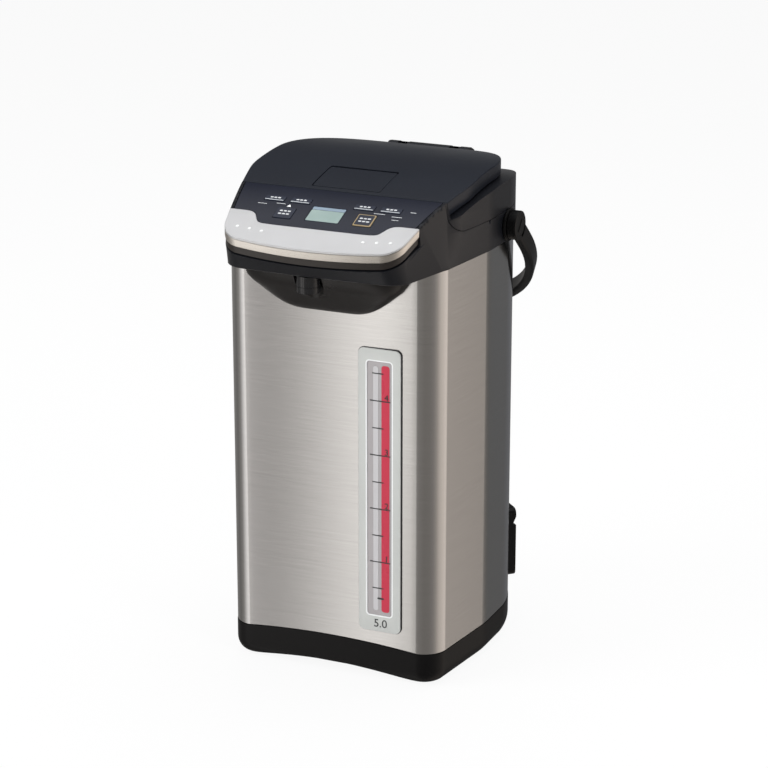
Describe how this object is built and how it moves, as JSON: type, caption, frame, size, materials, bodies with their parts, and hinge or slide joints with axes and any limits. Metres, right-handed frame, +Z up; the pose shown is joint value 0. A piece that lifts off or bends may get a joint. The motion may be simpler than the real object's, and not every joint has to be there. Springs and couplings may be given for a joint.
{
  "type": "electric thermo pot",
  "caption": "Tall insulated hot-water dispenser: brushed steel body, sloping control panel, hinged lid with lever, carrying bail, spout under the head and front level gauge.",
  "frame": {"origin": "on the table, under the middle of the whole pot from the lip in front to the hanging handle behind", "axes": "+Z up, -Y out of the front with the spout, +X to the right of someone behind the spout side, towards the level gauge side"},
  "size_m": [0.2436, 0.3044, 0.4294],
  "materials": {
    "black_plastic": "fine grained black moulding",
    "charcoal_plastic": "satin charcoal moulding",
    "lid_plastic": "smooth dark charcoal moulding",
    "panel_gloss": "glossy blue-black panel",
    "steel_jacket": "warm grey steel brushed round the body",
    "steel_plain": "plain sheet steel",
    "coated_steel": "dark non-stick coat",
    "silver_plastic": "satin silver",
    "grey_plastic": "light grey moulding",
    "white_plastic": "off-white moulding",
    "gauge_plastic": "pale grey-green plate",
    "clear_plastic": "clear window",
    "red_print": "red strip",
    "display": "grey-green display",
    "board": "green board",
    "rubber": "black rubber",
    "silicone": "pale silicone",
    "aluminium": "cast aluminium",
    "brass": "plated contact",
    "gold_key": "key with gold border",
    "dark_key": "dark key"
  },
  "bodies": {
    "pot": {"base_housing": "black_plastic", "bottom_plate": "black_plastic", "front_foot_left": "rubber", "front_foot_right": "rubber", "rear_foot_left": "rubber", "rear_foot_right": "rubber", "base_screws": "steel_plain", "chassis": "charcoal_plastic", "jacket": "steel_jacket", "inner_container": "coated_steel", "vacuum_shell": "steel_plain", "mouth_ring": "white_plastic", "heater_plate": "aluminium", "heater_element": "brass", "heater_clamp": "steel_plain", "thermistor": "brass", "pump_housing": "white_plastic", "pump_spindle": "steel_plain", "pump_motor": "steel_plain", "suction_pipe": "rubber", "riser_pipe": "white_plastic", "gauge_frame": "gauge_plastic", "gauge_window": "clear_plastic", "gauge_scale": "red_print", "level_tube": "clear_plastic", "level_tube_foot": "rubber", "level_tube_cap": "rubber", "head_shell": "charcoal_plastic", "rear_shoulder": "charcoal_plastic", "chin": "charcoal_plastic", "spout_nozzle": "grey_plastic", "silver_trim": "silver_plastic", "fascia": "panel_gloss", "display_window": "display", "display_module": "board", "panel_carrier": "charcoal_plastic", "control_board": "board", "hinge_housing": "charcoal_plastic", "hinge_pin": "steel_plain", "handle_pivot_left": "black_plastic", "handle_pivot_right": "black_plastic", "inlet_housing": "black_plastic", "inlet_pins": "brass", "power_board": "board"},
    "lid": {"lid_cover": "lid_plastic", "lid_base": "charcoal_plastic", "lid_gasket": "silicone", "lid_inner_plate": "steel_plain", "tip_over_valve": "white_plastic", "lever_pin": "steel_plain"},
    "lever": {"lid_lever": "lid_plastic"},
    "latch": {"lid_latch": "steel_plain"},
    "handle": {"carry_handle": "black_plastic"},
    "impeller": {"pump_impeller": "white_plastic"},
    "key_temperature": {"key_temperature": "dark_key"},
    "key_saving": {"key_saving": "dark_key"},
    "key_timer": {"key_timer": "dark_key"},
    "key_reboil": {"key_reboil": "dark_key"},
    "key_unlock": {"key_unlock": "dark_key"},
    "key_dispense": {"key_dispense": "gold_key"}
  },
  "joints": [
    {"name": "lid_hinge", "type": "hinge", "parent": "pot", "child": "lid", "pos_m": [0, 0.10178, 0.4115], "axis": [-1, 0, 0], "range_deg": [0, 95]},
    {"name": "lever_lift", "type": "hinge", "parent": "lid", "child": "lever", "pos_m": [0, -0.03766, 0.42179], "axis": [-1, 0, 0], "range_deg": [0, 28]},
    {"name": "latch_slide", "type": "slide", "parent": "lid", "child": "latch", "axis": [0, 0.9618, 0.2738], "range_m": [0, 0.006], "stiffness_N_per_m": 300, "springref_m": -0.003},
    {"name": "handle_swing", "type": "hinge", "parent": "pot", "child": "handle", "pos_m": [0, 0.01778, 0.378], "axis": [1, 0, 0], "range_deg": [0, 126]},
    {"name": "impeller_spin", "type": "hinge", "parent": "pot", "child": "impeller", "pos_m": [-0.006, -0.01922, 0.0335], "axis": [0, 0, 1], "continuous": true},
    {"name": "key_temperature_press", "type": "slide", "parent": "pot", "child": "key_temperature", "axis": [0, 0.3318, -0.9433], "range_m": [0, 0.001], "stiffness_N_per_m": 350},
    {"name": "key_saving_press", "type": "slide", "parent": "pot", "child": "key_saving", "axis": [0, 0.3318, -0.9433], "range_m": [0, 0.001], "stiffness_N_per_m": 350},
    {"name": "key_timer_press", "type": "slide", "parent": "pot", "child": "key_timer", "axis": [0, 0.3318, -0.9433], "range_m": [0, 0.001], "stiffness_N_per_m": 350},
    {"name": "key_reboil_press", "type": "slide", "parent": "pot", "child": "key_reboil", "axis": [0, 0.3318, -0.9433], "range_m": [0, 0.001], "stiffness_N_per_m": 350},
    {"name": "key_unlock_press", "type": "slide", "parent": "pot", "child": "key_unlock", "axis": [0, 0.3839, -0.9234], "range_m": [0, 0.001], "stiffness_N_per_m": 350},
    {"name": "key_dispense_press", "type": "slide", "parent": "pot", "child": "key_dispense", "axis": [0, 0.3795, -0.9252], "range_m": [0, 0.001], "stiffness_N_per_m": 350}
  ],
  "couplings": [
    {"joint": "lever_lift", "follows": "latch_slide", "rad_per_m": 80}
  ]
}
